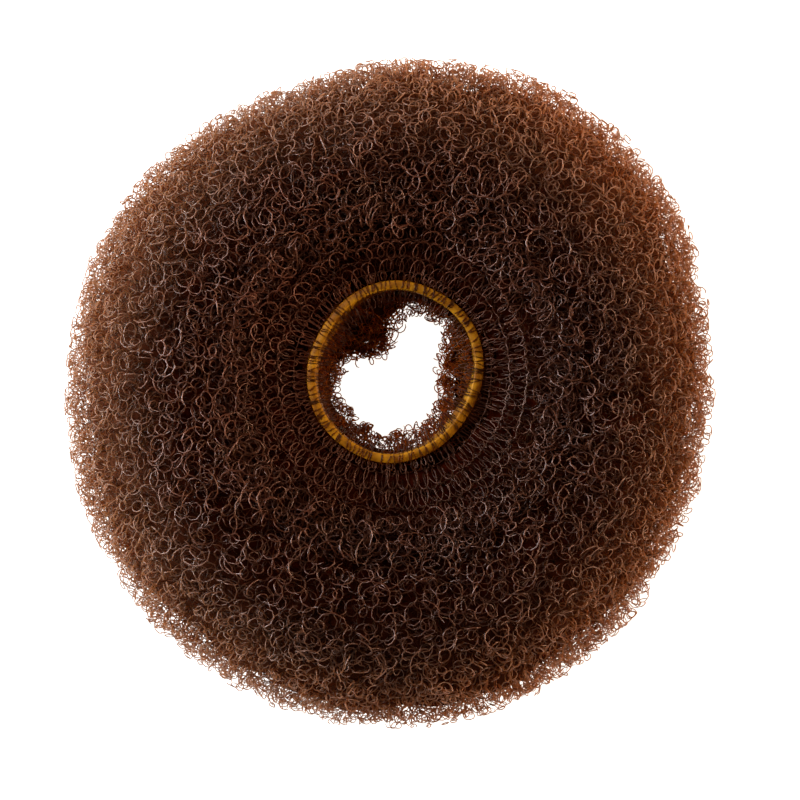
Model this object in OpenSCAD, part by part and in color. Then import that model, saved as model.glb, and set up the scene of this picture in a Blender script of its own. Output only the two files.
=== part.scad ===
// A donut of rolled curly mesh for shaping a hair bun, lying flat, with the elastic ring that gathers
// the mesh at the front of its hole. Z is up along the hole, and the floor is at z = 0.

/* [Roll] */
// Mean outer diameter of the donut
outer_d = 90; // [72:1:140]
// Height of the roll from the floor to its crown
roll_h = 34; // [28:1:48]
// Width of the flat band that the roll rests on
rest_w = 9; // [4:0.5:16]
// Height of the widest part, where the outline is
belly_h = 16; // [12:0.5:20]
// Squareness of the roll's outer side, where 1 is an ellipse and less is fuller
fullness = 0.96; // [0.8:0.02:1.1]

/* [Elastic ring] */
// Outer diameter of the ring
ring_d = 24.8; // [20:0.2:32]
// Thickness of the strap, seen from the front
strap_t = 1.2; // [0.8:0.1:2]
// Width of the strap, along the hole
strap_w = 2.4; // [1.6:0.1:4]
// Radius of the strap's corners
strap_round = 0.3; // [0.1:0.05:0.35]
// Drop from the crown to the strap's front edge
ring_depth = 5; // [2:0.5:9]
// Place of the ring across the donut, from the middle
ring_x = 0.7; // [-2:0.1:2]
// Place of the ring up the donut, from the middle
ring_y = 2.8; // [-4:0.1:4]
// Gap between the strap and the mesh
seat_gap = 0.3; // [0.1:0.05:0.6]

/* [Hole] */
// Distance that the gathered edge starts inside the strap
tuck = 1.3; // [0.8:0.1:2.5]
// Distance that the wall of the hole stands back behind the strap, below the gathered edge
set_back = 1.8; // [0:0.1:3]
// Extra distance that the wall stands back at the lower side, where light shows beside the strap
light_gap = 3; // [0:0.5:4]
// Height of the gathered edge that bulges into the hole, under the strap
frill_h = 9; // [5:0.5:12]
// Number of ruffles round the gathered edge
ruffle_count = 14; // [8:1:20]
// Depth of each ruffle, either way from the edge
ruffle_depth = 0.3; // [0:0.1:0.8]
// Height at which the hole starts to widen towards the floor
flare_h = 12; // [8:0.5:14]

/* [Hidden] */

// Sections round the donut, one row each 15 degrees from +X. The first column is a share of the mean
// outer radius, the second of the roll's height, the third of the radius inside the strap, and the
// fourth of the extra distance that the wall of the hole stands back.
outer_index = 0;
crown_index = 1;
frill_index = 2;
wall_index = 3;
SECTIONS = [
    [0.970, 0.99, 0.50, 0.0],
    [0.990, 1.00, 0.55, 0.0],
    [1.026, 1.00, 0.61, 0.0],
    [1.047, 1.00, 0.82, 0.0],
    [1.045, 0.99, 0.77, 0.0],
    [1.025, 0.98, 0.77, 0.0],
    [1.003, 0.99, 0.47, 0.0],
    [0.973, 1.00, 0.25, 0.0],
    [0.978, 1.00, 0.22, 0.0],
    [0.989, 1.00, 0.30, 0.0],
    [0.989, 0.99, 0.27, 0.0],
    [0.981, 0.98, 0.45, 0.0],
    [0.977, 0.98, 0.58, 0.0],
    [0.983, 0.99, 0.65, 0.0],
    [0.990, 1.00, 0.68, 0.1],
    [0.997, 1.00, 0.69, 0.4],
    [1.001, 0.99, 0.71, 0.8],
    [1.008, 0.98, 0.82, 1.0],
    [1.006, 0.98, 0.70, 0.8],
    [1.006, 0.99, 0.72, 0.4],
    [1.003, 1.00, 0.75, 0.1],
    [0.991, 1.00, 0.67, 0.0],
    [0.978, 0.99, 0.62, 0.0],
    [0.968, 0.98, 0.54, 0.0]
];

// Sections lofted round the donut, and points along each stretch of one section
loft_count = 84;
side_steps = 16;
slope_steps = 7;
frill_steps = 8;
flare_steps = 6;
// Number by which a second set of ruffles is fewer, and the angle by which it leads, so that the edge
// is uneven
second_ruffle = 5;
ruffle_lead = 40;
// Sides of the circle that the strap is turned round, and of its corners
ring_fn = 96;
corner_fn = 24;

outer_r = outer_d / 2;
ring_r = ring_d / 2;
ring_inner_r = ring_r - strap_t;
seat_r = ring_r + seat_gap;
edge_r = ring_inner_r - tuck;
wall_r = ring_inner_r + set_back;
crown_r = (outer_r + seat_r) / 2;
ring_front_z = roll_h - ring_depth;
ring_back_z = ring_front_z - strap_w;
seat_z = ring_back_z - seat_gap;

// A smooth closed curve through one column of the table, at any angle in degrees
function row(i) = SECTIONS[(i + len(SECTIONS)) % len(SECTIONS)];
function through(p, q, r, s, t) =
    q + t * (r - p) / 2 + t * t * (2 * p - 5 * q + 4 * r - s) / 2 + t * t * t * (3 * (q - r) + s - p) / 2;
function column_at(column, angle) =
    let (
        place = angle * len(SECTIONS) / 360,
        i = floor(place)
    )
    through(row(i - 1)[column], row(i)[column], row(i + 1)[column], row(i + 2)[column], place - i);

function outer_at(angle) = outer_r * column_at(outer_index, angle);
function crown_at(angle) = roll_h * column_at(crown_index, angle);
function wall_at(angle) = wall_r + light_gap * column_at(wall_index, angle);
function ruffle(angle) =
    cos(ruffle_count * angle) + cos((ruffle_count - second_ruffle) * angle + ruffle_lead);
function frill_tip_at(angle) = ring_inner_r * column_at(frill_index, angle) + ruffle_depth * ruffle(angle) / 2;

// One section, as [radius, height] points: up the outer side, down to the strap, and down the hole
function outer_side(angle) = [
    for (i = [0:side_steps])
        let (
            turn = -90 + 180 * i / side_steps,
            out = pow(cos(turn), fullness),
            rise = pow(abs(sin(turn)), fullness),
            foot = crown_r + (turn < 0 ? rest_w / 2 : 0)
        )
        [
            foot + (outer_at(angle) - foot) * out,
            turn < 0 ? belly_h * (1 - rise) : belly_h + (crown_at(angle) - belly_h) * rise
        ]
];
function front_slope(angle) = [
    for (i = [1:slope_steps])
        let (s = i / slope_steps)
        [crown_r + (seat_r - crown_r) * s, crown_at(angle) + (ring_front_z - crown_at(angle)) * s * s]
];
function seat() = [[seat_r, seat_z], [edge_r, seat_z]];
function frill_side(angle) = [
    for (i = [1:frill_steps])
        let (
            s = i / frill_steps,
            back = edge_r + (wall_at(angle) - edge_r) * s * s,
            bulge = pow(sin(180 * s), 2)
        )
        [back - (back - frill_tip_at(angle)) * bulge, seat_z - frill_h * s]
];
function back_flare(angle) = [
    for (i = [1:flare_steps])
        let (turn = 90 * i / flare_steps)
        [
            wall_at(angle) + (crown_r - rest_w / 2 - wall_at(angle)) * (1 - cos(turn)),
            min(flare_h, seat_z - frill_h) * (1 - sin(turn))
        ]
];
function section(angle) =
    concat(outer_side(angle), front_slope(angle), seat(), frill_side(angle), back_flare(angle));

// The outline's middle is moved to the origin, and the hole's middle is moved to the ring's
function outline_point(angle) = outer_at(angle) * [cos(angle), sin(angle)];
outline = [for (i = [0:loft_count - 1]) outline_point(360 * i / loft_count)];
function middle(axis) =
    let (values = [for (p = outline) p[axis]])
    (min(values) + max(values)) / 2;
outline_middle = [middle(0), middle(1)];
ring_middle = [ring_x, ring_y];
function hole_share(radius) = min(1, max(0, (outer_r - radius) / (outer_r - seat_r)));
function centre_at(radius) = ring_middle * hole_share(radius) - outline_middle * (1 - hole_share(radius));
function placed(angle, p) =
    let (centre = centre_at(p[0]))
    [centre[0] + p[0] * cos(angle), centre[1] + p[0] * sin(angle), p[1]];

module mesh_roll() {
    points_each = len(section(0));
    points = [
        for (i = [0:loft_count - 1])
            let (angle = 360 * i / loft_count)
            for (p = section(angle)) placed(angle, p)
    ];
    faces = [
        for (i = [0:loft_count - 1], j = [0:points_each - 1])
            let (
                here = i * points_each,
                next = ((i + 1) % loft_count) * points_each,
                up = (j + 1) % points_each
            )
            for (face = [[here + j, here + up, next + j], [here + up, next + up, next + j]]) face
    ];
    color([0.2, 0.11, 0.07]) polyhedron(points, faces);
}

// The strap's own section, with round corners
module strap_section() {
    translate([strap_round, 0]) square([strap_t - 2 * strap_round, strap_w]);
    translate([0, strap_round]) square([strap_t, strap_w - 2 * strap_round]);
    for (x = [strap_round, strap_t - strap_round], y = [strap_round, strap_w - strap_round])
        translate([x, y]) circle(strap_round, $fn = corner_fn);
}

module elastic_ring() {
    color([0.75, 0.48, 0.08])
        translate([ring_x, ring_y, ring_back_z])
            rotate_extrude($fn = ring_fn)
                translate([ring_inner_r, 0]) strap_section();
}

mesh_roll();
elastic_ring();
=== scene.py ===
import math

import bpy
import numpy as np
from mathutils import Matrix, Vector


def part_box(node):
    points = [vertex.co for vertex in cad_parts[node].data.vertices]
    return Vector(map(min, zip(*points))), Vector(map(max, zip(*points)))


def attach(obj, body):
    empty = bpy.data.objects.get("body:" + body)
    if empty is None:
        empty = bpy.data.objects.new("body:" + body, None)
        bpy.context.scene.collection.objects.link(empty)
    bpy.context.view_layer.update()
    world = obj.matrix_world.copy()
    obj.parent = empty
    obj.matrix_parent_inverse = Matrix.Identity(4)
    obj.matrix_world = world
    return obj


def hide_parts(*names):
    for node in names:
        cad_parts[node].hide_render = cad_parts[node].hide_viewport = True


MM = 0.001
TURN = 2 * math.pi

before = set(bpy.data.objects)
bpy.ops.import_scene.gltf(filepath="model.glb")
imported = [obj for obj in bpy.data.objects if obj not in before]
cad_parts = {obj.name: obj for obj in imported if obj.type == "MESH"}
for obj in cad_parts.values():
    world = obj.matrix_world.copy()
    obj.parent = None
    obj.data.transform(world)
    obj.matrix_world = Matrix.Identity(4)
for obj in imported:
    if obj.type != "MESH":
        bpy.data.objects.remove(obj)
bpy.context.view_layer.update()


# Sizes, in metres

FILAMENT_R = 0.094 * MM
RIM_FILAMENT_R = 0.078 * MM
FRILL_FILAMENT_R = 0.084 * MM
# Radii of the threads over the strap and of the loops beside it
THREAD_R = 0.075 * MM
STRAP_LOOP_R = 0.08 * MM
TUBE_SIDES = 3
# Mean radius of a curl on the face and at the rim
FACE_CURL_R = 1.2 * MM
RIM_CURL_R = 0.62 * MM
# Radii of the knitted rows round the strap, and half the height of their loops
KNIT_ROWS = (
    (14.24 * MM, 1.45 * MM), (16.8 * MM, 1.3 * MM), (19.1 * MM, 1.2 * MM),
    (21.2 * MM, 1.15 * MM), (23.2 * MM, 1.1 * MM),
)
KNIT_SPACING = 1.9 * MM
# Columns of loops round the strap, in the rows that are regular
KNIT_COLUMNS = 64
COLUMNS_TO = 18 * MM
# Radii of the plain threads that run between those rows
KNIT_LINES = (12.9 * MM, 15.6 * MM, 18.0 * MM)
# Radii between which the knit turns from regular to wild
CALM_R = 17.0 * MM
WILD_R = 24.0 * MM
# Radius where the separate curls of the face begin, inside the last knitted row
FIELD_R = 20.5 * MM
# Reach of the fuzzy rim along the section, inward over the face and on under the widest part
RIM_FROM = 24 * MM
RIM_FULL = 7 * MM
RIM_UNDER = 10 * MM

# Distances from the donut's middle between which a painted glow makes the filament paler
RIM_GLOW_FROM = 29 * MM
RIM_GLOW_TO = 46.5 * MM
# Depths under the surface between which painted shade darkens the filament more and more
SHADE_FROM = 0.2 * MM
SHADE_TO = 2.2 * MM

# How far the curls are moved off their even rows
SWIRL_REACH = 0.42 * MM
# Where the rim is thinnest, clockwise from the right, and how far round that reaches
THIN_RIM_AT = math.radians(12)
THIN_RIM_WIDTH = math.radians(38)

# The gathered edge in the hole: its strands, the curls in each and the points in a curl
FRILL_STRANDS = 490
FRILL_CURLS = 4
FRILL_POINTS = 9
FRILL_CURL_R = 0.6 * MM
# Depths under the surface that the strands lie at, and how far they may stand out of it
FRILL_DEPTHS = (-0.2 * MM, 2.2 * MM)
FRILL_PROUD = 0.8 * MM

# Places round the strap where threads cross it, and the space kept free beside it
THREAD_BUNDLES = 96
STRAP_CLEARANCE = 0.2 * MM
# The strap, seen from the front
STRAP_T = 1.25 * MM
STRAP_W = 2.3 * MM
STRAP_SECTIONS = 180
STRAP_TABLE = (
    # angle in degrees, radius of the strap's middle line in mm, degrees that it is turned over
    (0, 11.27, 7), (15, 11.54, 5), (30, 11.82, 0), (45, 11.82, 0), (60, 11.68, 0), (75, 11.75, 3),
    (90, 11.82, 2), (105, 11.54, 10), (120, 11.20, 14), (135, 10.85, 18), (150, 10.65, 18), (165, 10.86, 13),
    (180, 11.20, 8), (195, 11.34, 6), (210, 11.54, 6), (225, 11.54, 6), (240, 11.61, 4), (255, 11.82, 0),
    (270, 11.68, 4), (285, 11.27, 8), (300, 11.00, 14), (315, 10.60, 24), (330, 10.50, 24), (345, 10.85, 16),
)

rng = np.random.default_rng(7)


# The frame's own places

roll_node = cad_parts["mesh_roll"]
roll_low, roll_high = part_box("mesh_roll")
ring_low, ring_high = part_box("elastic_ring")
ring_middle = np.array([(ring_low.x + ring_high.x) / 2, (ring_low.y + ring_high.y) / 2])
ring_r = (ring_high.x - ring_low.x) / 2
ring_z = (ring_low.z + ring_high.z) / 2
roll_mid_z = roll_high.z * 0.47


# The donut's surface, as a grid of places round the donut and along the roll's section

AROUND = 240
# Samples along each stretch: the face, the underside, the hole, the frill's front and the strap's seat
STRETCHES = (90, 62, 62, 16, 12)
ACROSS = sum(STRETCHES)


def roll_triangles():
    """Corner places and triangles of the solid roll, with no corner counted twice."""
    mesh = roll_node.data
    mesh.calc_loop_triangles()
    places = np.array([roll_node.matrix_world @ v.co for v in mesh.vertices])
    corners = np.array([t.vertices for t in mesh.loop_triangles])
    keys = np.round(places / (0.001 * MM)).astype(int)
    _, first, same = np.unique(keys, axis=0, return_index=True, return_inverse=True)
    return places[first], same.ravel()[corners]


def section_at(places, triangles, angle):
    """The roll's section at one angle about the strap's middle: its [radius, height] points in order."""
    flat = places[:, :2] - ring_middle
    reach = flat @ np.array([math.cos(angle), math.sin(angle)])
    aside = flat @ np.array([-math.sin(angle), math.cos(angle)])
    left = aside > 0
    count_left = left[triangles].sum(1)
    crossed = triangles[(count_left > 0) & (count_left < 3) & (reach[triangles].mean(1) > 0)]
    links = {}
    for corners in crossed.tolist():
        ends = []
        for k in range(3):
            a, b = corners[k], corners[(k + 1) % 3]
            if left[a] != left[b]:
                ends.append((min(a, b), max(a, b)))
        links.setdefault(ends[0], []).append(ends[1])
        links.setdefault(ends[1], []).append(ends[0])
    start = next(iter(links))
    run, here, last = [start], links[start][0], start
    while here != start:
        run.append(here)
        ahead = links[here][0] if links[here][0] != last else links[here][1]
        here, last = ahead, here
    pairs = np.array(run)
    share = (aside[pairs[:, 0]] / (aside[pairs[:, 0]] - aside[pairs[:, 1]]))[:, None]
    spots = places[pairs[:, 0]] * (1 - share) + places[pairs[:, 1]] * share
    radius = np.hypot(spots[:, 0] - ring_middle[0], spots[:, 1] - ring_middle[1])
    height = spots[:, 2]
    turned = (radius * np.roll(height, -1) - np.roll(radius, -1) * height).sum()
    if turned > 0:
        radius, height = radius[::-1], height[::-1]
    return radius, height


def resampled(radius, height):
    """One section as ACROSS points, a fixed number between each two of its landmarks."""
    seat_gap = 0.3 * MM
    lip = np.argmin(np.hypot(radius - ring_r - seat_gap, height - ring_high.z))
    widest = np.argmax(radius)
    heel = np.argmin(radius + 1000 * np.maximum(height - 0.01 * MM, 0))
    tip = np.argmin(radius)
    edge = np.argmin(np.hypot(radius - ring_r + 2.5 * MM, height - ring_low.z + seat_gap))
    marks = [int((m - lip) % len(radius)) for m in (lip, widest, heel, tip, edge)] + [len(radius)]
    radius = np.append(np.roll(radius, -lip), radius[lip])
    height = np.append(np.roll(height, -lip), height[lip])
    length = np.concatenate([[0], np.cumsum(np.hypot(np.diff(radius), np.diff(height)))])
    at = []
    for k, count in enumerate(STRETCHES):
        at.append(np.linspace(length[marks[k]], length[marks[k + 1]], count, endpoint=False))
    at = np.concatenate(at)
    return np.interp(at, length, radius), np.interp(at, length, height)


def smoothed(grid, axis, sigma):
    """A periodic blur along one axis of a grid."""
    count = grid.shape[axis]
    steps = np.fft.fftfreq(count)
    gain = np.exp(-2 * (math.pi * steps * sigma) ** 2)
    shape = [1] * grid.ndim
    shape[axis] = count
    return np.real(np.fft.ifft(np.fft.fft(grid, axis=axis) * gain.reshape(shape), axis=axis))


def unit(v):
    return v / np.maximum(np.linalg.norm(v, axis=-1, keepdims=True), 1e-12)


def surface_grid():
    """The donut's surface as points, round the donut and along its section."""
    places, triangles = roll_triangles()
    grid = np.zeros((AROUND, ACROSS, 3))
    # A little turn, so that no slice runs through a corner of the solid
    aside = 0.0007
    for i in range(AROUND):
        angle = TURN * i / AROUND + aside
        radius, height = resampled(*section_at(places, triangles, angle))
        grid[i, :, 0] = ring_middle[0] + radius * math.cos(angle)
        grid[i, :, 1] = ring_middle[1] + radius * math.sin(angle)
        grid[i, :, 2] = height
    return smoothed(smoothed(grid, 1, 1.0), 0, 1.0)


surface = surface_grid()
along_hole = unit(np.roll(surface, -1, 0) - np.roll(surface, 1, 0))
along_roll = unit(np.roll(surface, -1, 1) - np.roll(surface, 1, 1))
outward = unit(np.cross(along_roll, along_hole))
widest_step = STRETCHES[0]
if (outward[0, widest_step, :2] * (surface[0, widest_step, :2] - ring_middle)).sum() < 0:
    outward = -outward

# Along the section from the strap: each step's mean length, distance from the strap and mean radius
step_lengths = np.linalg.norm(np.roll(surface, -1, 1) - surface, axis=2)
mean_steps = step_lengths.mean(0)
lengths = np.concatenate([[0], np.cumsum(mean_steps)])
whole_length = lengths[-1]
radii = np.hypot(surface[:, :, 0] - ring_middle[0], surface[:, :, 1] - ring_middle[1]).mean(0)
widest_length = lengths[STRETCHES[0]]
heel_length = lengths[sum(STRETCHES[:2])]
tip_length = lengths[sum(STRETCHES[:3])]
edge_length = lengths[sum(STRETCHES[:4])]


def looked_up(grid, angle, place):
    """The grid's value at any angle round the donut, in radians, and place along the section, in steps."""
    a = np.mod(angle / TURN, 1.0) * AROUND
    t = np.mod(place, ACROSS)
    i = np.floor(a).astype(int)
    j = np.floor(t).astype(int)
    fa = (a - i)[:, None]
    ft = (t - j)[:, None]
    i, j = i % AROUND, j % ACROSS
    i2, j2 = (i + 1) % AROUND, (j + 1) % ACROSS
    near = grid[i, j] * (1 - ft) + grid[i, j2] * ft
    far = grid[i2, j] * (1 - ft) + grid[i2, j2] * ft
    return near * (1 - fa) + far * fa


def place_of(length):
    return float(np.interp(length, lengths, np.arange(ACROSS + 1)))


def length_at_radius(radius):
    """Distance from the strap at which the face reaches a radius."""
    face = slice(0, STRETCHES[0])
    return float(np.interp(radius, radii[face], lengths[:-1][face]))


# Curls

def eased(time):
    """The curl that each time is on, and how far it has moved on to the next one."""
    i = np.floor(time).astype(int)
    f = time - i
    return i, f * f * (3 - 2 * f)


def picked(values, i, ease):
    """Values given once a curl, eased from each curl to the next along a closed row."""
    count = len(values)
    if values.ndim > 1:
        ease = ease[:, None]
    return values[i % count] * (1 - ease) + values[(i + 1) % count] * ease


def strap_curve(column):
    """One column of the strap's table at each degree round the ring, without corners."""
    angles = [row[0] for row in STRAP_TABLE]
    values = [row[column] for row in STRAP_TABLE]
    return smoothed(np.interp(np.arange(360), angles, values, period=360)[:, None], 0, 5)[:, 0]


strap_radii = strap_curve(1) * MM
strap_twists = np.radians(strap_curve(2))


def on_strap(curve, angle):
    return np.interp(np.degrees(angle), np.arange(360), curve, period=360)


def kept_clear(points):
    """Moves what would cut through the strap, or hide its front, to its nearest side, and off the floor."""
    flat = points[:, :2] - ring_middle
    radius = np.linalg.norm(flat, axis=1)
    away = unit(flat)
    angle = np.arctan2(flat[:, 1], flat[:, 0])
    twist = on_strap(strap_twists, angle)
    reach = (STRAP_T * np.cos(twist) + STRAP_W * np.sin(twist)) / 2 + STRAP_CLEARANCE
    inner = on_strap(strap_radii, angle) - reach
    outer = on_strap(strap_radii, angle) + reach
    floor = ring_low.z - 0.3 * MM
    front = ring_high.z + 0.1 * MM
    near = (radius > inner) & (radius < outer) & (points[:, 2] > floor) & (points[:, 2] < front)
    to_in, to_out, down = radius - inner, outer - radius, points[:, 2] - floor
    go_down = near & (down < to_in) & (down < to_out)
    go_in = near & ~go_down & (to_in < to_out)
    go_out = near & ~go_down & ~go_in
    moved = points.copy()
    moved[go_down, 2] = floor
    moved[go_in, :2] = ring_middle + away[go_in] * inner[go_in, None]
    moved[go_out, :2] = ring_middle + away[go_out] * outer[go_out, None]
    moved[:, 2] = np.maximum(moved[:, 2], 1.2 * FILAMENT_R)
    return moved


def rounded_to_loop(middle, n, e1, w, theta, wide, tall, lift, proud):
    """Loops about their middles, pressed down where they stand proud: their points and heights."""
    u = unit(e1 - w * (e1 * w).sum(1, keepdims=True))
    v = np.cross(w, u)
    ring = u * (wide * np.cos(theta))[:, None] + v * (tall * np.sin(theta))[:, None]
    height = lift + (ring * n).sum(1)
    over = np.maximum(height - proud, 0) * 0.7
    return middle + ring + n * (lift - over)[:, None], height - over


def knit_row(length, depth, wild, tall, points_each, ahead=0.0):
    """One closed row of knitted loops round the strap: (points, side directions, heights)."""
    place = place_of(length)
    row_r = float(np.interp(length, lengths[:-1], radii))
    step = float(np.interp(length, lengths[:-1], mean_steps))
    count = KNIT_COLUMNS if row_r < COLUMNS_TO else int(round(TURN * row_r / KNIT_SPACING))
    spacing = TURN * row_r / count
    time = np.arange(count * points_each) / points_each
    i, ease = eased(time)
    turns = round(count * (1 + 0.2 * wild))
    theta = TURN * turns / count * time
    middles = TURN * np.arange(count) / count
    # Narrow loops at the lower right, rounder ones at the upper left
    roundness = 0.5 - 0.5 * np.cos(middles + math.radians(40))
    size = np.clip(1.04 + (0.18 + 0.06 * wild) * rng.normal(0, 1, count), 0.55, 1.6)
    wide = (spacing * (0.27 + 0.16 * roundness) * (1 - wild) + FACE_CURL_R * 0.85 * wild) * size
    high = (tall * (1 - 0.25 * roundness) * (1 - wild) + FACE_CURL_R * 0.85 * wild) * size
    spread = 0.16 * MM + wild * FACE_CURL_R * np.array([0.22, 0.30, 0.15])
    moved = picked(rng.normal(0, 1, (count, 3)) * spread, i, ease)
    angle = TURN * (time + ahead) / count + moved[:, 0] / row_r
    sway = smoothed(rng.normal(0, 1, (count, 1)), 0, 1.6)[:, 0]
    sway *= (0.22 + 0.4 * wild) * MM / sway.std()
    places = place + (moved[:, 1] + picked(sway, i, ease)) / step
    n = unit(looked_up(outward, angle, places))
    e1 = unit(looked_up(along_hole, angle, places))
    lean = picked(rng.normal(0, 1, (count, 3)), i, ease)
    w = unit(n + lean * (0.22 + 0.25 * wild))
    middle = looked_up(surface, angle, places)
    points, heights = rounded_to_loop(
        middle, n, e1, w, theta, picked(wide, i, ease), picked(high, i, ease), moved[:, 2] - depth, 0.1 * MM
    )
    return kept_clear(points), w, heights


def rim_share(length):
    """0 on the face, growing to 1 at the rim and under it."""
    share = np.clip((length - widest_length + RIM_FROM) / (RIM_FROM - RIM_FULL), 0, 1)
    return share * share * (3 - 2 * share)


tufts = smoothed(smoothed(rng.normal(0, 1, (AROUND, ACROSS, 1)), 0, 1.1), 1, 2.0)
tufts /= tufts.std()
# How far the curls are moved off their even rows, round the donut and along the section
swirls = smoothed(smoothed(rng.normal(0, 1, (AROUND, ACROSS, 2)), 0, 7.0), 1, 9.0)
swirls *= SWIRL_REACH / swirls.std()


def right_share(angle):
    """1 a little under the donut's right side, falling to 0 round it."""
    aside = np.mod(angle + math.pi + THIN_RIM_AT, TURN) - math.pi
    return np.exp(-(aside / THIN_RIM_WIDTH) ** 2)


def curl_field(first, last, layer):
    """Separate curls spread evenly over the surface, smaller and wilder toward the rim."""
    strands = []
    points_each = int(round(layer["turns"] * layer["per_turn"])) + 1
    time = np.linspace(0, 1, points_each)[None, :]
    length = first
    while length < last:
        rim = float(rim_share(length))
        row_r = float(np.interp(length, lengths[:-1], radii))
        curl_r = (FACE_CURL_R * (1 - rim) + RIM_CURL_R * rim) * layer["size"]
        gap = layer["gap"] * (1 - rim) + layer["rim_gap"] * rim
        if length > widest_length:
            gap *= layer["under"]
            curl_r *= 1 + 0.7 * (layer["under"] > 1) * min((length - widest_length) / RIM_UNDER, 1)
        count = int(round(TURN * row_r / gap))
        size = curl_r * np.clip(1 + 0.2 * rng.normal(0, 1, (count, 1)), 0.55, 1.5)
        heading = rng.uniform(0, TURN, (count, 1))
        drift = size * layer["drift"] * (time - 0.5)
        spot = np.arange(count)[:, None] + rng.uniform(0, 1) + rng.normal(0, 0.2, (count, 1))
        moved = looked_up(swirls, TURN * spot[:, 0] / count, np.full(count, place_of(length)))
        angle = TURN * spot / count + (np.cos(heading) * drift + moved[:, :1]) / row_r
        along = length + rng.normal(0, 0.2 * gap, (count, 1)) + np.sin(heading) * drift + moved[:, 1:]
        flat_angle = angle.ravel()
        flat_place = np.interp(along.ravel(), lengths, np.arange(ACROSS + 1))
        n = unit(looked_up(outward, flat_angle, flat_place))
        e1 = unit(looked_up(along_hole, flat_angle, flat_place))
        lean = np.repeat(rng.normal(0, 1, (count, 3)), points_each, 0)
        # At the rim the curls stand out of the surface, and many of them lie level
        stand = rim * layer["stand"]
        upright = n * (1 - stand) + np.array([0.0, 0.0, 0.6 * stand])
        w = unit(upright + lean * (layer["tilt"] * (1 - rim) + layer["rim_tilt"] * rim))
        turned = TURN * layer["turns"] * rng.uniform(0.85, 1.15, (count, 1)) * time
        handed = np.where(rng.random((count, 1)) < 0.5, -1, 1)
        theta = (rng.uniform(0, TURN, (count, 1)) + handed * turned).ravel()
        tuft = looked_up(tufts, angle[:, 0], flat_place[::points_each])
        lift = -layer["depth"] + rng.normal(0, 0.22 * MM, (count, 1)) + 0.3 * MM * (time - 0.5) * handed
        lift = lift + (0.46 * tuft - 0.55 * right_share(angle[:, :1])) * MM * rim
        springs = (rng.random((count, 1)) < layer["springs"] * rim) * rng.uniform(0.3, 1.1, (count, 1)) * MM
        wide = np.repeat(size, points_each, 1).ravel()
        tall = wide * np.repeat(np.clip(1 + 0.18 * rng.normal(0, 1, count), 0.6, 1.4), points_each)
        middle = looked_up(surface, flat_angle, flat_place)
        proud = 0.1 * MM + 0.7 * MM * rim
        lift = (lift + springs).ravel()
        points, heights = rounded_to_loop(middle, n, e1, w, theta, wide, tall, lift, proud)
        points = kept_clear(points).reshape(count, points_each, 3)
        strands += list(zip(points, w.reshape(count, points_each, 3), heights.reshape(count, points_each)))
        length += gap * 0.87
    return strands


def knit_line(radius, depth):
    """A thread between two knitted rows, with a small knot at each column."""
    place = place_of(length_at_radius(radius))
    points_each = 8
    time = np.arange(KNIT_COLUMNS * points_each) / points_each
    wave = TURN * time
    i, ease = eased(time)
    knot = picked(rng.uniform(0.16, 0.34, KNIT_COLUMNS), i, ease) * MM
    angle = TURN * time / KNIT_COLUMNS - knot * np.sin(wave) / radius
    drift = picked(rng.normal(0, 1, KNIT_COLUMNS), i, ease) * 0.14 * MM
    step = float(mean_steps[int(place)])
    places = place + (0.8 * knot * np.cos(wave) + drift) / step
    n = unit(looked_up(outward, angle, places))
    # The lines lie on the loops at the right, and sink between them round the rest
    shown = np.exp(-(((angle + math.pi) % TURN - math.pi) / math.radians(48)) ** 2)
    lift = 0.12 * MM * np.cos(wave) - depth - 0.75 * MM * (1 - shown)
    points = looked_up(surface, angle, places) + n * lift[:, None]
    return kept_clear(points), n, lift


# Angles in the hole where the gathered edge stands out farther: how wide each is, and how far
FRILL_BULGES = (
    (95, 7, 0.7 * MM), (262, 14, 0.5 * MM), (5, 16, 0.3 * MM), (30, 8, 0.5 * MM), (217, 14, 0.7 * MM),
    (322, 14, 0.8 * MM),
)


def frill_bulge(angle):
    """How far the gathered edge stands out at an angle, in metres."""
    total = 0.0
    for middle, width, reach in FRILL_BULGES:
        aside = (math.degrees(angle) - middle + 180) % 360 - 180
        total += reach * math.exp(-(aside / width) ** 2)
    return total


def loose_strands(count, curls, points_each, pick_start, curl_r, depth_range, proud):
    """Short open strands of small curls that wander over the surface of the gathered edge."""
    total = curls * points_each
    time = np.arange(total) / points_each
    strands = []
    for _ in range(count):
        angle0, length0 = pick_start()
        heading = rng.uniform(0, TURN)
        size = curl_r * rng.uniform(0.6, 1.35)
        step_on = size * rng.uniform(1.1, 2.0)
        place0 = place_of(length0 % whole_length)
        local = max(float(np.interp(length0 % whole_length, lengths[:-1], mean_steps)), 0.1 * MM)
        at = looked_up(surface, np.array([angle0]), np.array([place0]))[0]
        local_r = max(float(np.hypot(at[0] - ring_middle[0], at[1] - ring_middle[1])), 2 * MM)
        angle = angle0 + math.cos(heading) * step_on * time / local_r
        places = place0 + math.sin(heading) * step_on * time / local
        bulge = frill_bulge(angle0)
        depth = rng.uniform(*depth_range) - bulge + rng.normal(0, 0.2 * MM) * (time / curls)
        n = unit(looked_up(outward, angle, places))
        e1 = unit(looked_up(along_hole, angle, places))
        first, last = rng.normal(0, 1, 3), rng.normal(0, 1, 3)
        share = (time / curls)[:, None]
        w = unit(n * 0.5 + first * (1 - share) + last * share)
        theta = TURN * time * rng.uniform(0.85, 1.2) + rng.uniform(0, TURN)
        sizes = np.full(total, size)
        middle = looked_up(surface, angle, places)
        points, heights = rounded_to_loop(middle, n, e1, w, theta, sizes, sizes, -depth, proud + bulge)
        strands.append((kept_clear(points), w, heights))
    return strands


# Mesh making

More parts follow.
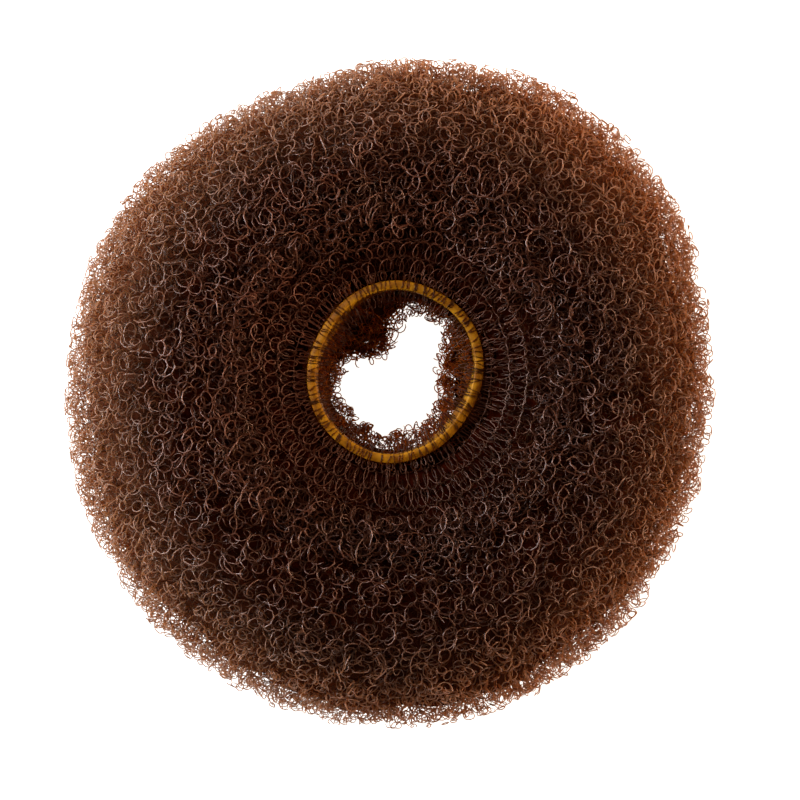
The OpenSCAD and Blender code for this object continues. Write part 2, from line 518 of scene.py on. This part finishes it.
def tube_mesh(name, strands, radius, closed=True):
    """One mesh of three-sided tubes along strands of (points, side directions, heights)."""
    verts, faces, uvs, caps = [], [], [], []
    heights = np.concatenate([np.repeat(strand[2], TUBE_SIDES) for strand in strands])
    base = 0
    for k, (points, side, _) in enumerate(strands):
        count = len(points)
        way = np.roll(points, -1, 0) - np.roll(points, 1, 0)
        if not closed:
            way[0] = points[1] - points[0]
            way[-1] = points[-1] - points[-2]
        way = unit(way)
        b = unit(np.cross(way, side))
        c = np.cross(b, way)
        thick = np.full((count, 1), radius)
        if not closed:
            thick[0] = thick[-1] = radius * 0.4
        rings = [
            points + thick * (b * math.cos(TURN * s / TUBE_SIDES) + c * math.sin(TURN * s / TUBE_SIDES))
            for s in range(TUBE_SIDES)
        ]
        verts.append(np.stack(rings, 1).reshape(-1, 3))
        here = np.arange(count if closed else count - 1)
        there = (here + 1) % count
        for s in range(TUBE_SIDES):
            s2 = (s + 1) % TUBE_SIDES
            corners = [
                here * TUBE_SIDES + s, there * TUBE_SIDES + s,
                there * TUBE_SIDES + s2, here * TUBE_SIDES + s2,
            ]
            faces.append(base + np.stack(corners, 1))
            low = np.full(len(here), (k + s / TUBE_SIDES) / len(strands))
            high = np.full(len(here), (k + (s + 1) / TUBE_SIDES) / len(strands))
            u0, u1 = here / count, (here + 1) / count
            uvs.append(np.stack([u0, low, u1, low, u1, high, u0, high], 1).reshape(-1, 2))
        if not closed:
            last = base + (count - 1) * TUBE_SIDES
            caps.append([base + 2, base + 1, base])
            caps.append([last, last + 1, last + 2])
        base += count * TUBE_SIDES
    uvs.append(np.tile([[0.0, 0.0], [0.001, 0.0], [0.0, 0.001]], (len(caps), 1)).reshape(-1, 2))
    faces = np.concatenate(faces).tolist() + caps
    return solid_mesh(name, np.concatenate(verts), faces, np.concatenate(uvs), heights)


def solid_mesh(name, verts, faces, uvs=None, heights=None):
    """A smooth mesh object from corners and faces, with each corner's height over the donut's surface."""
    mesh = bpy.data.meshes.new(name)
    mesh.from_pydata(verts.tolist(), [], faces)
    if heights is not None:
        layer = mesh.attributes.new(name="height", type="FLOAT", domain="POINT")
        layer.data.foreach_set("value", heights.astype(np.float32))
    if uvs is not None:
        layer = mesh.uv_layers.new(name="OFBake")
        layer.data.foreach_set("uv", uvs.astype(np.float32).ravel())
    mesh.polygons.foreach_set("use_smooth", np.ones(len(faces), bool))
    mesh.update()
    piece = bpy.data.objects.new(name, mesh)
    bpy.context.scene.collection.objects.link(piece)
    return piece


def grid_faces(rows, columns):
    """Four-cornered faces of a grid that closes both ways."""
    i, j = np.meshgrid(np.arange(rows), np.arange(columns), indexing="ij")
    i2, j2 = (i + 1) % rows, (j + 1) % columns
    faces = np.stack([i * columns + j, i2 * columns + j, i2 * columns + j2, i * columns + j2], 2)
    return faces.reshape(-1, 4).tolist()


# Materials

def new_material(name):
    material = bpy.data.materials.new(name)
    material.use_nodes = True
    nodes = material.node_tree.nodes
    nodes.clear()
    return material, nodes, material.node_tree.links


def mottled(nodes, links, scale, dark, light):
    """A colour that varies softly between two shades."""
    place = nodes.new("ShaderNodeTexCoord")
    patches = nodes.new("ShaderNodeTexNoise")
    patches.inputs["Scale"].default_value = scale
    patches.inputs["Detail"].default_value = 2
    links.new(place.outputs["Object"], patches.inputs["Vector"])
    shade = nodes.new("ShaderNodeValToRGB")
    shade.color_ramp.elements[0].position = 0.35
    shade.color_ramp.elements[0].color = (*dark, 1)
    shade.color_ramp.elements[1].position = 0.68
    shade.color_ramp.elements[1].color = (*light, 1)
    links.new(patches.outputs["Fac"], shade.inputs["Fac"])
    return shade.outputs["Color"]


def lit_through(nodes, links, body, colour, share):
    """Mixes light that comes through the material into its surface."""
    through = nodes.new("ShaderNodeBsdfTranslucent")
    through.inputs["Color"].default_value = (*colour, 1)
    mix = nodes.new("ShaderNodeMixShader")
    mix.inputs["Fac"].default_value = share
    links.new(body.outputs["BSDF"], mix.inputs[1])
    links.new(through.outputs["BSDF"], mix.inputs[2])
    out = nodes.new("ShaderNodeOutputMaterial")
    links.new(mix.outputs["Shader"], out.inputs["Surface"])
    return mix


def toward_rim(nodes, links, start=RIM_GLOW_FROM, end=RIM_GLOW_TO, middle=(0, 0), flatness=1.0):
    """A number that grows from 0 to 1 between two distances from a middle. Flatness scales y."""
    place = nodes.new("ShaderNodeTexCoord")
    flat = nodes.new("ShaderNodeVectorMath")
    flat.operation = "MULTIPLY_ADD"
    flat.inputs[1].default_value = (1, flatness, 0)
    flat.inputs[2].default_value = (-middle[0], -middle[1], 0)
    links.new(place.outputs["Object"], flat.inputs[0])
    radius = nodes.new("ShaderNodeVectorMath")
    radius.operation = "LENGTH"
    links.new(flat.outputs["Vector"], radius.inputs[0])
    share = nodes.new("ShaderNodeMapRange")
    share.interpolation_type = "SMOOTHSTEP"
    share.inputs["From Min"].default_value = start
    share.inputs["From Max"].default_value = end
    links.new(radius.outputs["Value"], share.inputs["Value"])
    return share.outputs["Result"]


def painted_side_light(nodes, links, reach, bright, dim, direction=(0.88, -0.72, 0)):
    """Painted light and shade: a number that falls along a direction, between two distances from the middle.
    """
    place = nodes.new("ShaderNodeTexCoord")
    across = nodes.new("ShaderNodeVectorMath")
    across.operation = "DOT_PRODUCT"
    across.inputs[1].default_value = direction
    links.new(place.outputs["Object"], across.inputs[0])
    side = nodes.new("ShaderNodeMapRange")
    side.inputs["From Min"].default_value = -reach
    side.inputs["From Max"].default_value = reach
    side.inputs["To Min"].default_value = bright
    side.inputs["To Max"].default_value = dim
    links.new(across.outputs["Value"], side.inputs["Value"])
    return side.outputs["Result"]


def times(nodes, links, colour, number):
    """A colour scaled by a number."""
    scaled = nodes.new("ShaderNodeVectorMath")
    scaled.operation = "SCALE"
    links.new(colour, scaled.inputs[0])
    links.new(number, scaled.inputs["Scale"])
    return scaled.outputs["Vector"]


def painted_shade(nodes, links, colour, deep, *side):
    """A colour with painted shade that darkens it with the depth under the donut's surface, and painted light
    and shade along a direction.
    """
    height = nodes.new("ShaderNodeAttribute")
    height.attribute_name = "height"
    light = nodes.new("ShaderNodeMapRange")
    light.inputs["From Min"].default_value = -SHADE_TO
    light.inputs["From Max"].default_value = -SHADE_FROM
    light.inputs["To Min"].default_value = deep
    light.inputs["To Max"].default_value = 1.15
    links.new(height.outputs["Fac"], light.inputs["Value"])
    both = nodes.new("ShaderNodeMath")
    both.operation = "MULTIPLY"
    links.new(light.outputs["Result"], both.inputs[0])
    links.new(painted_side_light(nodes, links, *side), both.inputs[1])
    return times(nodes, links, colour, both.outputs["Value"])


def filament_material(
    name, dark, light, gloss, through, share, painted_rim_light, rim_share, side=(35 * MM, 1.22, 0.66), deep=0.3,
    tint=(1.0, 0.60, 0.475),
):
    """Brown nylon filament, with more light coming through it toward the rim, a painted glow that makes it
    paler there, and painted shade with depth and toward the lower right.
    """
    material, nodes, links = new_material(name)
    body = nodes.new("ShaderNodeBsdfPrincipled")
    body.inputs["Roughness"].default_value = 0.38
    body.inputs["IOR"].default_value = 1.53
    body.inputs["Specular IOR Level"].default_value = gloss
    body.inputs["Specular Tint"].default_value = (*tint, 1)
    rim = toward_rim(nodes, links, flatness=0.955)
    colour = nodes.new("ShaderNodeMix")
    colour.data_type = "RGBA"
    links.new(rim, colour.inputs["Factor"])
    links.new(mottled(nodes, links, 260, dark, light), colour.inputs["A"])
    colour.inputs["B"].default_value = (*painted_rim_light, 1)
    links.new(painted_shade(nodes, links, colour.outputs["Result"], deep, *side), body.inputs["Base Color"])
    mix = lit_through(nodes, links, body, through, share)
    shares = nodes.new("ShaderNodeMapRange")
    shares.inputs["To Min"].default_value = share
    shares.inputs["To Max"].default_value = rim_share
    links.new(rim, shares.inputs["Value"])
    links.new(shares.outputs["Result"], mix.inputs["Fac"])
    return material


# Core colours: near-black painted shade on the face, paler painted light in the hole and at the rim
CORE_MOTTLE = 700
CORE_PAINTED_SHADE = ((0.014, 0.0011, 0.0002), (0.038, 0.0045, 0.0011))
CORE_HOLE_PAINTED_LIGHT = (0.080, 0.020, 0.004, 1)
CORE_RIM_PAINTED_GLOW = (0.060, 0.0165, 0.0066, 1)
STRAP_MOTTLE = 620
STRAP_SHADES = ((0.25, 0.078, 0.001), (0.60, 0.235, 0.006))


def core_material():
    """The packed inside of the roll, near-black with painted shade, and paler with painted light in the hole
    and at the rim.
    """
    material, nodes, links = new_material("dark_windings")
    body = nodes.new("ShaderNodeBsdfPrincipled")
    in_face = nodes.new("ShaderNodeMix")
    in_face.data_type = "RGBA"
    links.new(toward_rim(nodes, links, 11.2 * MM, 12.6 * MM, ring_middle), in_face.inputs["Factor"])
    in_hole = nodes.new("ShaderNodeRGB")
    in_hole.outputs["Color"].default_value = CORE_HOLE_PAINTED_LIGHT
    # Painted light in the hole: the core there is paler, brighter at the upper left and darker at the lower
    # right
    hole_light = painted_side_light(nodes, links, 9 * MM, 1.7, 0.4)
    links.new(times(nodes, links, in_hole.outputs["Color"], hole_light), in_face.inputs["A"])
    links.new(mottled(nodes, links, CORE_MOTTLE, *CORE_PAINTED_SHADE), in_face.inputs["B"])
    colour = nodes.new("ShaderNodeMix")
    colour.data_type = "RGBA"
    links.new(toward_rim(nodes, links, 26 * MM, 45 * MM), colour.inputs["Factor"])
    links.new(in_face.outputs["Result"], colour.inputs["A"])
    at_rim = nodes.new("ShaderNodeRGB")
    at_rim.outputs["Color"].default_value = CORE_RIM_PAINTED_GLOW
    # Painted glow at the rim, brighter at the upper left than at the lower right
    painted_rim_light = painted_side_light(nodes, links, 40 * MM, 1.6, 0.95)
    links.new(times(nodes, links, at_rim.outputs["Color"], painted_rim_light), colour.inputs["B"])
    # Painted shade: darker toward the floor, where the curls over the core are thin and it shows between them
    place = nodes.new("ShaderNodeTexCoord")
    split = nodes.new("ShaderNodeSeparateXYZ")
    links.new(place.outputs["Object"], split.inputs["Vector"])
    painted_floor_shade = nodes.new("ShaderNodeMapRange")
    painted_floor_shade.inputs["From Min"].default_value = 6 * MM
    painted_floor_shade.inputs["From Max"].default_value = 15 * MM
    painted_floor_shade.inputs["To Min"].default_value = 0.12
    links.new(split.outputs["Z"], painted_floor_shade.inputs["Value"])
    darkened = times(nodes, links, colour.outputs["Result"], painted_floor_shade.outputs["Result"])
    links.new(darkened, body.inputs["Base Color"])
    body.inputs["Roughness"].default_value = 0.9
    body.inputs["Specular IOR Level"].default_value = 0.0
    out = nodes.new("ShaderNodeOutputMaterial")
    links.new(body.outputs["BSDF"], out.inputs["Surface"])
    return material


def strap_material():
    """Amber rubber with light in it."""
    material, nodes, links = new_material("amber_rubber")
    body = nodes.new("ShaderNodeBsdfPrincipled")
    links.new(mottled(nodes, links, STRAP_MOTTLE, *STRAP_SHADES), body.inputs["Base Color"])
    body.inputs["Roughness"].default_value = 0.5
    body.inputs["Specular IOR Level"].default_value = 0.15
    lit_through(nodes, links, body, (0.85, 0.33, 0.012), 0.25)
    return material


def floor_material():
    """A plain white surface, lit from under as a light table is."""
    material, nodes, links = new_material("white_floor")
    body = nodes.new("ShaderNodeBsdfPrincipled")
    body.inputs["Base Color"].default_value = (0.55, 0.53, 0.50, 1)
    body.inputs["Roughness"].default_value = 0.6
    body.inputs["Emission Color"].default_value = (1, 0.93, 0.865, 1)
    body.inputs["Emission Strength"].default_value = 1.18
    out = nodes.new("ShaderNodeOutputMaterial")
    links.new(body.outputs["BSDF"], out.inputs["Surface"])
    return material


def dress(piece, material):
    piece.data.materials.append(material)
    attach(piece, "root")


# Painted light and shade in every filament: a painted glow toward the rim, painted shade with depth, and
# brighter at the upper left than at the lower right
front_filament = filament_material(
    "brown_filament", (0.038, 0.0086, 0.0030), (0.080, 0.0200, 0.0090), 0.85,
    (0.88, 0.48, 0.24), 0.2, (0.188, 0.098, 0.056), 0.55,
)
# Painted light and shade on the knit: from 1.8 times as bright at the upper left to 0.4 times at the lower
# right
knit_filament = filament_material(
    "knit_filament", (0.033, 0.0084, 0.0036), (0.068, 0.0200, 0.0102), 0.6,
    (0.84, 0.44, 0.21), 0.15, (0.070, 0.020, 0.0085), 0.15, (13 * MM, 1.8, 0.4, (0.6, -0.8, 0)),
    tint=(1.0, 0.46, 0.30),
)
# Darker copies of the filament for the layers under the face and for the underside: painted shade
middle_filament = filament_material(
    "shaded_filament", (0.020, 0.0037, 0.0011), (0.042, 0.0086, 0.0034), 0.3,
    (0.80, 0.38, 0.16), 0.2, (0.15, 0.070, 0.035), 0.6,
)
deep_filament = filament_material(
    "deep_filament", (0.014, 0.0021, 0.0007), (0.030, 0.0060, 0.0022), 0.15,
    (0.65, 0.25, 0.07), 0.2, (0.12, 0.045, 0.017), 0.6,
)
back_filament = filament_material(
    "back_filament", (0.020, 0.0037, 0.0011), (0.042, 0.0086, 0.0034), 0.2,
    (0.65, 0.27, 0.09), 0.15, (0.075, 0.032, 0.016), 0.2,
)
frill_filament = filament_material(
    "frill_filament", (0.058, 0.013, 0.002), (0.120, 0.042, 0.010), 0.12,
    (1.0, 0.42, 0.10), 0.6, (0.11, 0.040, 0.018), 0.6, deep=0.65,
)


thread_filament = filament_material(
    "thread_filament", (0.022, 0.006, 0.001), (0.060, 0.020, 0.004), 0.15,
    (0.8, 0.33, 0.05), 0.35, (0.022, 0.006, 0.001), 0.35,
)


# The pieces

def core_depths():
    """Depth of the core under the surface: less near the strap and in the frill than under the face."""
    table = (
        (0, 1.3 * MM),
        (4 * MM, 2.2 * MM),
        (10 * MM, 3.3 * MM),
        (widest_length - 8 * MM, 3.2 * MM),
        (widest_length, 2.5 * MM),
        (heel_length, 2.8 * MM),
        (heel_length + 14 * MM, 2.0 * MM),
        (tip_length - 6 * MM, 1.8 * MM),
        (tip_length, 2.1 * MM),
        (edge_length, 1.0 * MM),
        (whole_length, 1.3 * MM),
    )
    base = np.interp(lengths[:-1], [row[0] for row in table], [row[1] for row in table])
    # The frill is thin at the bottom of the hole, and the rim is thicker in some places than in others
    angles = TURN * np.arange(AROUND) / AROUND
    below = np.exp(-((angles - math.radians(268)) / math.radians(32)) ** 2)
    lump = np.exp(-((angles - math.radians(130)) / math.radians(28)) ** 2)
    in_frill = np.interp(lengths[:-1], [tip_length - 7 * MM, tip_length, edge_length], [0, 1, 0])
    waves = smoothed(smoothed(rng.normal(0, 1, (AROUND, ACROSS)), 0, 1.9), 1, 5.0)
    uneven = np.interp(
        lengths[:-1],
        [widest_length - 16 * MM, widest_length - 6 * MM, widest_length + 8 * MM, heel_length],
        [0, 1, 1, 0.4],
    )
    thin = (1.5 * below + 1.3 * lump)[:, None] * MM * in_frill[None, :]
    # More light comes through the rim at the right
    at_rim = np.interp(
        lengths[:-1],
        [widest_length - 5 * MM, widest_length - MM, widest_length + 2 * MM, heel_length],
        [0, 1, 1, 0],
    )
    thin = thin + 1.2 * MM * right_share(angles)[:, None] * at_rim[None, :]
    return base[None, :] + thin + 0.85 * MM * uneven[None, :] * np.clip(waves / waves.std(), -1.6, 2.2)


def build_core():
    """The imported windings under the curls, lumpy, and thinner where the light comes through."""
    angles = np.arange(0, AROUND, 2)
    places = np.arange(0, ACROSS, 3)
    at = np.ix_(angles, places)
    lumps = 1 + 0.08 * rng.normal(0, 1, (len(angles), len(places)))
    verts = (surface[at] - outward[at] * (core_depths()[at] * lumps)[:, :, None]).reshape(-1, 3)
    core = solid_mesh("packed_windings", verts, grid_faces(len(angles), len(places)))
    dress(core, core_material())
    return core


# Most points in one piece, so that it stays under 200,000 triangles
PIECE_POINTS = 33000


def split_pieces(name, strands, material, radius, closed=True):
    """Makes one or more pieces of the strands, each within the limit."""
    groups, size = [[]], 0
    for strand in strands:
        if size + len(strand[0]) > PIECE_POINTS:
            groups.append([])
            size = 0
        groups[-1].append(strand)
        size += len(strand[0])
    for k, group in enumerate(groups):
        dress(tube_mesh(f"{name}_{k + 1}", group, radius, closed), material)


def build_knit():
    """The knitted rows round the strap, growing wilder outward, over darker ones in painted shade."""
    front, middle = [], []
    for radius, tall in KNIT_ROWS:
        wild = float(np.clip((radius - CALM_R) / (WILD_R - CALM_R), 0, 1))
        front.append(knit_row(length_at_radius(radius), 0.5 * MM, wild, tall, 11))
        middle.append(knit_row(length_at_radius(radius + 0.4 * MM), 0.9 * MM, wild, 0.9 * tall, 9, ahead=0.5))
        middle.append(knit_row(length_at_radius(radius + 1.1 * MM), 1.4 * MM, max(wild, 0.3), tall, 9))
    for radius in KNIT_LINES:
        front.append(knit_line(radius, 0.22 * MM))
    split_pieces("knit_loops", front, knit_filament, FILAMENT_R)
    split_pieces("shaded_knit_loops", middle, middle_filament, FILAMENT_R)


CURL_LAYERS = {
    # Turns of a curl, points in a turn, curls' spacing on the face and at the rim, and its growth under the
    # rim; their size, drift in radii, lean, how far they stand up at the rim, depth, and the share that
    # springs out of the rim
    "face_curls": dict(
        turns=1.25, per_turn=9, gap=1.84 * MM, rim_gap=1.4 * MM, under=1.0, size=1.0,
        drift=1.1, tilt=0.44, rim_tilt=0.75, stand=0.6, depth=0.55 * MM, springs=0.1,
    ),
    "rim_curls": dict(
        turns=1.25, per_turn=8, gap=1.82 * MM, rim_gap=1.27 * MM, under=1.6, size=1.0,
        drift=1.1, tilt=0.48, rim_tilt=0.7, stand=0.85, depth=0.5 * MM, springs=0.3,
    ),
    "middle_curls": dict(
        turns=1.3, per_turn=8, gap=2.4 * MM, rim_gap=1.9 * MM, under=1.5, size=1.0,
        drift=1.2, tilt=0.5, rim_tilt=0.9, stand=0.6, depth=1.35 * MM, springs=0.0,
    ),
    "deep_curls": dict(
        turns=1.3, per_turn=7, gap=2.5 * MM, rim_gap=2.4 * MM, under=1.45, size=1.05,
        drift=1.2, tilt=0.6, rim_tilt=1.1, stand=0.0, depth=2.4 * MM, springs=0.0,
    ),
    "back_curls": dict(
        turns=1.3, per_turn=7, gap=2.1 * MM, rim_gap=2.1 * MM, under=1.0, size=2.0,
        drift=1.0, tilt=0.6, rim_tilt=0.7, stand=0.0, depth=0.6 * MM, springs=0.0,
    ),
    "back_windings": dict(
        turns=1.3, per_turn=7, gap=2.6 * MM, rim_gap=2.6 * MM, under=1.0, size=2.0,
        drift=1.0, tilt=0.6, rim_tilt=0.7, stand=0.0, depth=1.6 * MM, springs=0.0,
    ),
}


def build_curls():
    """The loose curls of the face and the rim, and those of the underside and the hole's wall."""
    field = length_at_radius(FIELD_R)
    deep_from = length_at_radius(14.5 * MM)
    rim_from = widest_length - RIM_FULL
    deep_to = widest_length - 2 * MM
    under = widest_length + RIM_UNDER
    wall_to = tip_length - 4 * MM
    back_from = under - 2 * MM
    for name, start, stop, material, radius in (
        ("face_curls", field, rim_from, front_filament, FILAMENT_R),
        ("rim_curls", rim_from, under, front_filament, RIM_FILAMENT_R),
        ("middle_curls", field, under, middle_filament, FILAMENT_R),
        ("deep_curls", deep_from, deep_to, deep_filament, FILAMENT_R),
        ("back_curls", back_from, wall_to, back_filament, FILAMENT_R),
        ("back_windings", back_from, wall_to, back_filament, FILAMENT_R),
    ):
        strands = curl_field(start, stop, CURL_LAYERS[name])
        split_pieces(name, strands, material, radius, closed=False)


def build_frill():
    """The gathered edge in the hole, of fine loose curls."""
    first = tip_length - 7 * MM
    last = edge_length + 1.5 * MM
    steps = slice(int(place_of(first)), int(place_of(last)))
    weights = step_lengths[:, steps].ravel()
    weights = weights / weights.sum()
    width = steps.stop - steps.start

    def pick_start():
        spot = int(rng.choice(len(weights), p=weights))
        angle = TURN * (spot // width + rng.random()) / AROUND
        return angle, float(np.interp(steps.start + spot % width, np.arange(ACROSS + 1), lengths))

    strands = loose_strands(
        FRILL_STRANDS, FRILL_CURLS, FRILL_POINTS, pick_start, FRILL_CURL_R, FRILL_DEPTHS, FRILL_PROUD
    )
    split_pieces("frill_curls", strands, frill_filament, FRILL_FILAMENT_R, closed=False)


def strap_line(angle):
    """The strap's middle line, an oval that is squashed toward the upper left and the lower right."""
    radius = on_strap(strap_radii, angle)
    return ring_middle[0] + radius * np.cos(angle), ring_middle[1] + radius * np.sin(angle)


def build_strap():
    """The flat elastic, edge-on to the front, turned over in two stretches."""
    angle = TURN * np.arange(STRAP_SECTIONS) / STRAP_SECTIONS
    x, y = strap_line(angle)
    twist = on_strap(strap_twists, angle)
    t, w, cut = STRAP_T / 2, STRAP_W / 2, 0.14 * MM
    corners = (
        (t, -w + cut), (t, w - cut), (t - cut, w), (-t + cut, w),
        (-t, w - cut), (-t, -w + cut), (-t + cut, -w), (t - cut, -w),
    )
    rings = []
    for out, up in corners:
        reach = out * np.cos(twist) + up * np.sin(twist)
        lift = up * np.cos(twist) - out * np.sin(twist)
        rings.append(np.stack([x + reach * np.cos(angle), y + reach * np.sin(angle), ring_z + lift], 1))
    verts = np.stack(rings, 1).reshape(-1, 3)
    strap = solid_mesh("amber_strap", verts, grid_faces(STRAP_SECTIONS, len(corners)))
    dress(strap, strap_material())
    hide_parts("elastic_ring")


def strap_thread(angle, path, sway):
    """A strand given beside the strap's own section, as [out, up] from its middle, turned as the strap is."""
    share = np.linspace(0, len(path) - 1, 3 * len(path) - 2)
    out = np.interp(share, np.arange(len(path)), [p[0] for p in path])
    up = np.interp(share, np.arange(len(path)), [p[1] for p in path])
    out[1:-1] = (out[:-2] + 2 * out[1:-1] + out[2:]) / 4
    up[1:-1] = (up[:-2] + 2 * up[1:-1] + up[2:]) / 4
    swing = angle + np.interp(share, np.arange(len(path)), sway) / ring_r
    twist = on_strap(strap_twists, swing)
    reach = out * np.cos(twist) + up * np.sin(twist)
    lift = up * np.cos(twist) - out * np.sin(twist)
    x, y = strap_line(swing)
    points = np.stack([x + reach * np.cos(swing), y + reach * np.sin(swing), ring_z + lift], 1)
    side = np.stack([-np.sin(swing), np.cos(swing), np.zeros(len(swing))], 1)
    return points, side, np.zeros(len(swing))


def build_wraps():
    """Threads of the mesh that go over the strap's front and hold it, one to three together."""
    t, w = STRAP_T / 2, STRAP_W / 2
    over = (
        (t + 0.9 * MM, -0.4 * MM), (t + 0.3 * MM, w - 0.3 * MM), (t * 0.6, w + 0.1 * MM),
        (-t * 0.6, w + 0.1 * MM), (-t - 0.25 * MM, w - 0.5 * MM), (-t - 0.7 * MM, -w),
    )
    strands = []
    for k in range(THREAD_BUNDLES):
        middle = TURN * (k + rng.normal(0, 0.3)) / THREAD_BUNDLES
        for _ in range(int(rng.choice([1, 2, 3], p=[0.5, 0.35, 0.15]))):
            angle = middle + rng.normal(0, 0.03)
            slant = rng.normal(0, 0.35 * MM)
            sway = slant * np.linspace(-1, 1, len(over)) + rng.normal(0, 0.10 * MM, len(over))
            strands.append(strap_thread(angle, over, sway))
    dress(tube_mesh("strap_threads", strands, THREAD_R, closed=False), thread_filament)


def build_hanging_loops():
    """Loops of the mesh that hang from the strap into the hole, and short ones round its outer edge."""
    t, w = STRAP_T / 2, STRAP_W / 2
    lit, painted_shade = [], []
    for count, start, reach, drop, half in (
        # loops round the strap, their start, how far they reach, how far they drop, and half their width
        (60, (-t - 0.15 * MM, w - 0.2 * MM), -1.6 * MM, -0.8 * MM, 0.42 * MM),
        (52, (-t - 0.75 * MM, w - 1.4 * MM), -1.8 * MM, -1.0 * MM, 0.48 * MM),
        (KNIT_COLUMNS, (t + 0.15 * MM, w - 0.1 * MM), 0.9 * MM, 0.8 * MM, 0.34 * MM),
        (KNIT_COLUMNS, (t + 0.15 * MM, w - 0.3 * MM), 1.3 * MM, 0.5 * MM, 0.40 * MM),
    ):
        for k in range(count):
            angle = TURN * (k + rng.normal(0, 0.25)) / count
            size = rng.uniform(0.6, 1.2)
            shares = np.array([0, 0.55, 0.95, 0.95, 0.55, 0]) * size
            # Loops outside the strap reach past the edge of the mesh, also where the strap stands off it
            aside = ring_r - t - float(on_strap(strap_radii, angle)) if reach > 0 else 0
            path = [(start[0] + (reach + aside) * s, start[1] + drop * s) for s in shares]
            sway = half * np.array([-0.6, -1.1, -0.5, 0.5, 1.1, 0.6]) * size + rng.normal(0, 0.1 * MM)
            # Loops turned away from the light get the darker filament as painted shade
            to_light = reach > 0 or math.cos(angle - math.radians(-10)) > 0.3
            (lit if to_light else painted_shade).append(strap_thread(angle, path, sway))
    split_pieces("lit_strap_loops", lit, knit_filament, STRAP_LOOP_R, closed=False)
    split_pieces("shaded_strap_loops", painted_shade, middle_filament, STRAP_LOOP_R, closed=False)


core = build_core()
build_knit()
build_curls()
build_frill()
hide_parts("mesh_roll")
build_strap()
build_wraps()
build_hanging_loops()


# Floor, light and camera

def build_floor():
    half = 3.0
    verts = np.array([[-half, -half, 0], [half, -half, 0], [half, half, 0], [-half, half, 0]])
    floor = solid_mesh("floor", verts, [[0, 1, 2, 3]])
    floor.data.materials.append(floor_material())


LIGHTS = (
    # name, place in metres, size in metres, power in watts, colour
    ("left", (-0.62, 0.25, 0.45), 0.5, 6.5, (0.88, 0.92, 0.95)),
    ("low_left", (-0.7, 0.1, 0.10), 0.35, 13.8, (0.53, 0.78, 1.0)),
    ("low_right", (0.7, 0.05, 0.12), 0.45, 9.5, (1.0, 0.86, 0.64)),
    ("right", (0.6, 0.2, 0.4), 0.3, 0.4, (1.0, 0.86, 0.72)),
    ("above", (-0.2, 0.45, 0.75), 0.3, 1.3, (1.0, 0.90, 0.83)),
)


def area_light(name, place, size, power, colour):
    light = bpy.data.lights.new(name, "AREA")
    light.shape = "DISK"
    light.size = size
    light.energy = power
    light.color = colour
    lamp = bpy.data.objects.new(name, light)
    bpy.context.scene.collection.objects.link(lamp)
    lamp.location = place
    aim = Vector((0, 0, roll_mid_z)) - Vector(place)
    lamp.rotation_euler = aim.to_track_quat("-Z", "Y").to_euler()


# The donut's outline spans 638 of the picture's 800 pixels, and its middle is at (390, 393)
PICTURE = 800
OUTLINE_PIXELS = 638
OUTLINE_MIDDLE = (390, 393)
LENS_MM = 300
SENSOR_MM = 36


def build_camera():
    scale = (roll_high.x - roll_low.x) / OUTLINE_PIXELS
    width = scale * PICTURE
    camera_data = bpy.data.cameras.new("camera")
    camera_data.lens = LENS_MM
    camera_data.sensor_width = SENSOR_MM
    camera_data.clip_end = 20
    camera = bpy.data.objects.new("camera", camera_data)
    bpy.context.scene.collection.objects.link(camera)
    distance = width * LENS_MM / SENSOR_MM
    camera.location = (
        (PICTURE / 2 - OUTLINE_MIDDLE[0]) * scale,
        (OUTLINE_MIDDLE[1] - PICTURE / 2) * scale,
        roll_mid_z + distance,
    )
    bpy.context.scene.camera = camera


def build_world():
    """White walls, dimmer at the near side, and a dark ceiling, so that the donut's face stays dark."""
    world = bpy.data.worlds.new("studio")
    bpy.context.scene.world = world
    world.use_nodes = True
    nodes, links = world.node_tree.nodes, world.node_tree.links
    place = nodes.new("ShaderNodeTexCoord")
    split = nodes.new("ShaderNodeSeparateXYZ")
    links.new(place.outputs["Generated"], split.inputs["Vector"])
    shade = nodes.new("ShaderNodeValToRGB")
    shade.color_ramp.elements[0].position = 0.15
    shade.color_ramp.elements[0].color = (1, 0.84, 0.77, 1)
    shade.color_ramp.elements[1].position = 0.5
    shade.color_ramp.elements[1].color = (0.08, 0.062, 0.055, 1)
    links.new(split.outputs["Z"], shade.inputs["Fac"])
    links.new(shade.outputs["Color"], nodes["Background"].inputs["Color"])
    strength = nodes.new("ShaderNodeMapRange")
    strength.inputs["From Min"].default_value = -0.8
    strength.inputs["From Max"].default_value = 0.4
    strength.inputs["To Min"].default_value = 0.07
    strength.inputs["To Max"].default_value = 0.75
    links.new(split.outputs["Y"], strength.inputs["Value"])
    links.new(strength.outputs["Result"], nodes["Background"].inputs["Strength"])


build_floor()
for lamp_row in LIGHTS:
    area_light(*lamp_row)
build_camera()
build_world()
bpy.context.scene.view_settings.view_transform = "Standard"
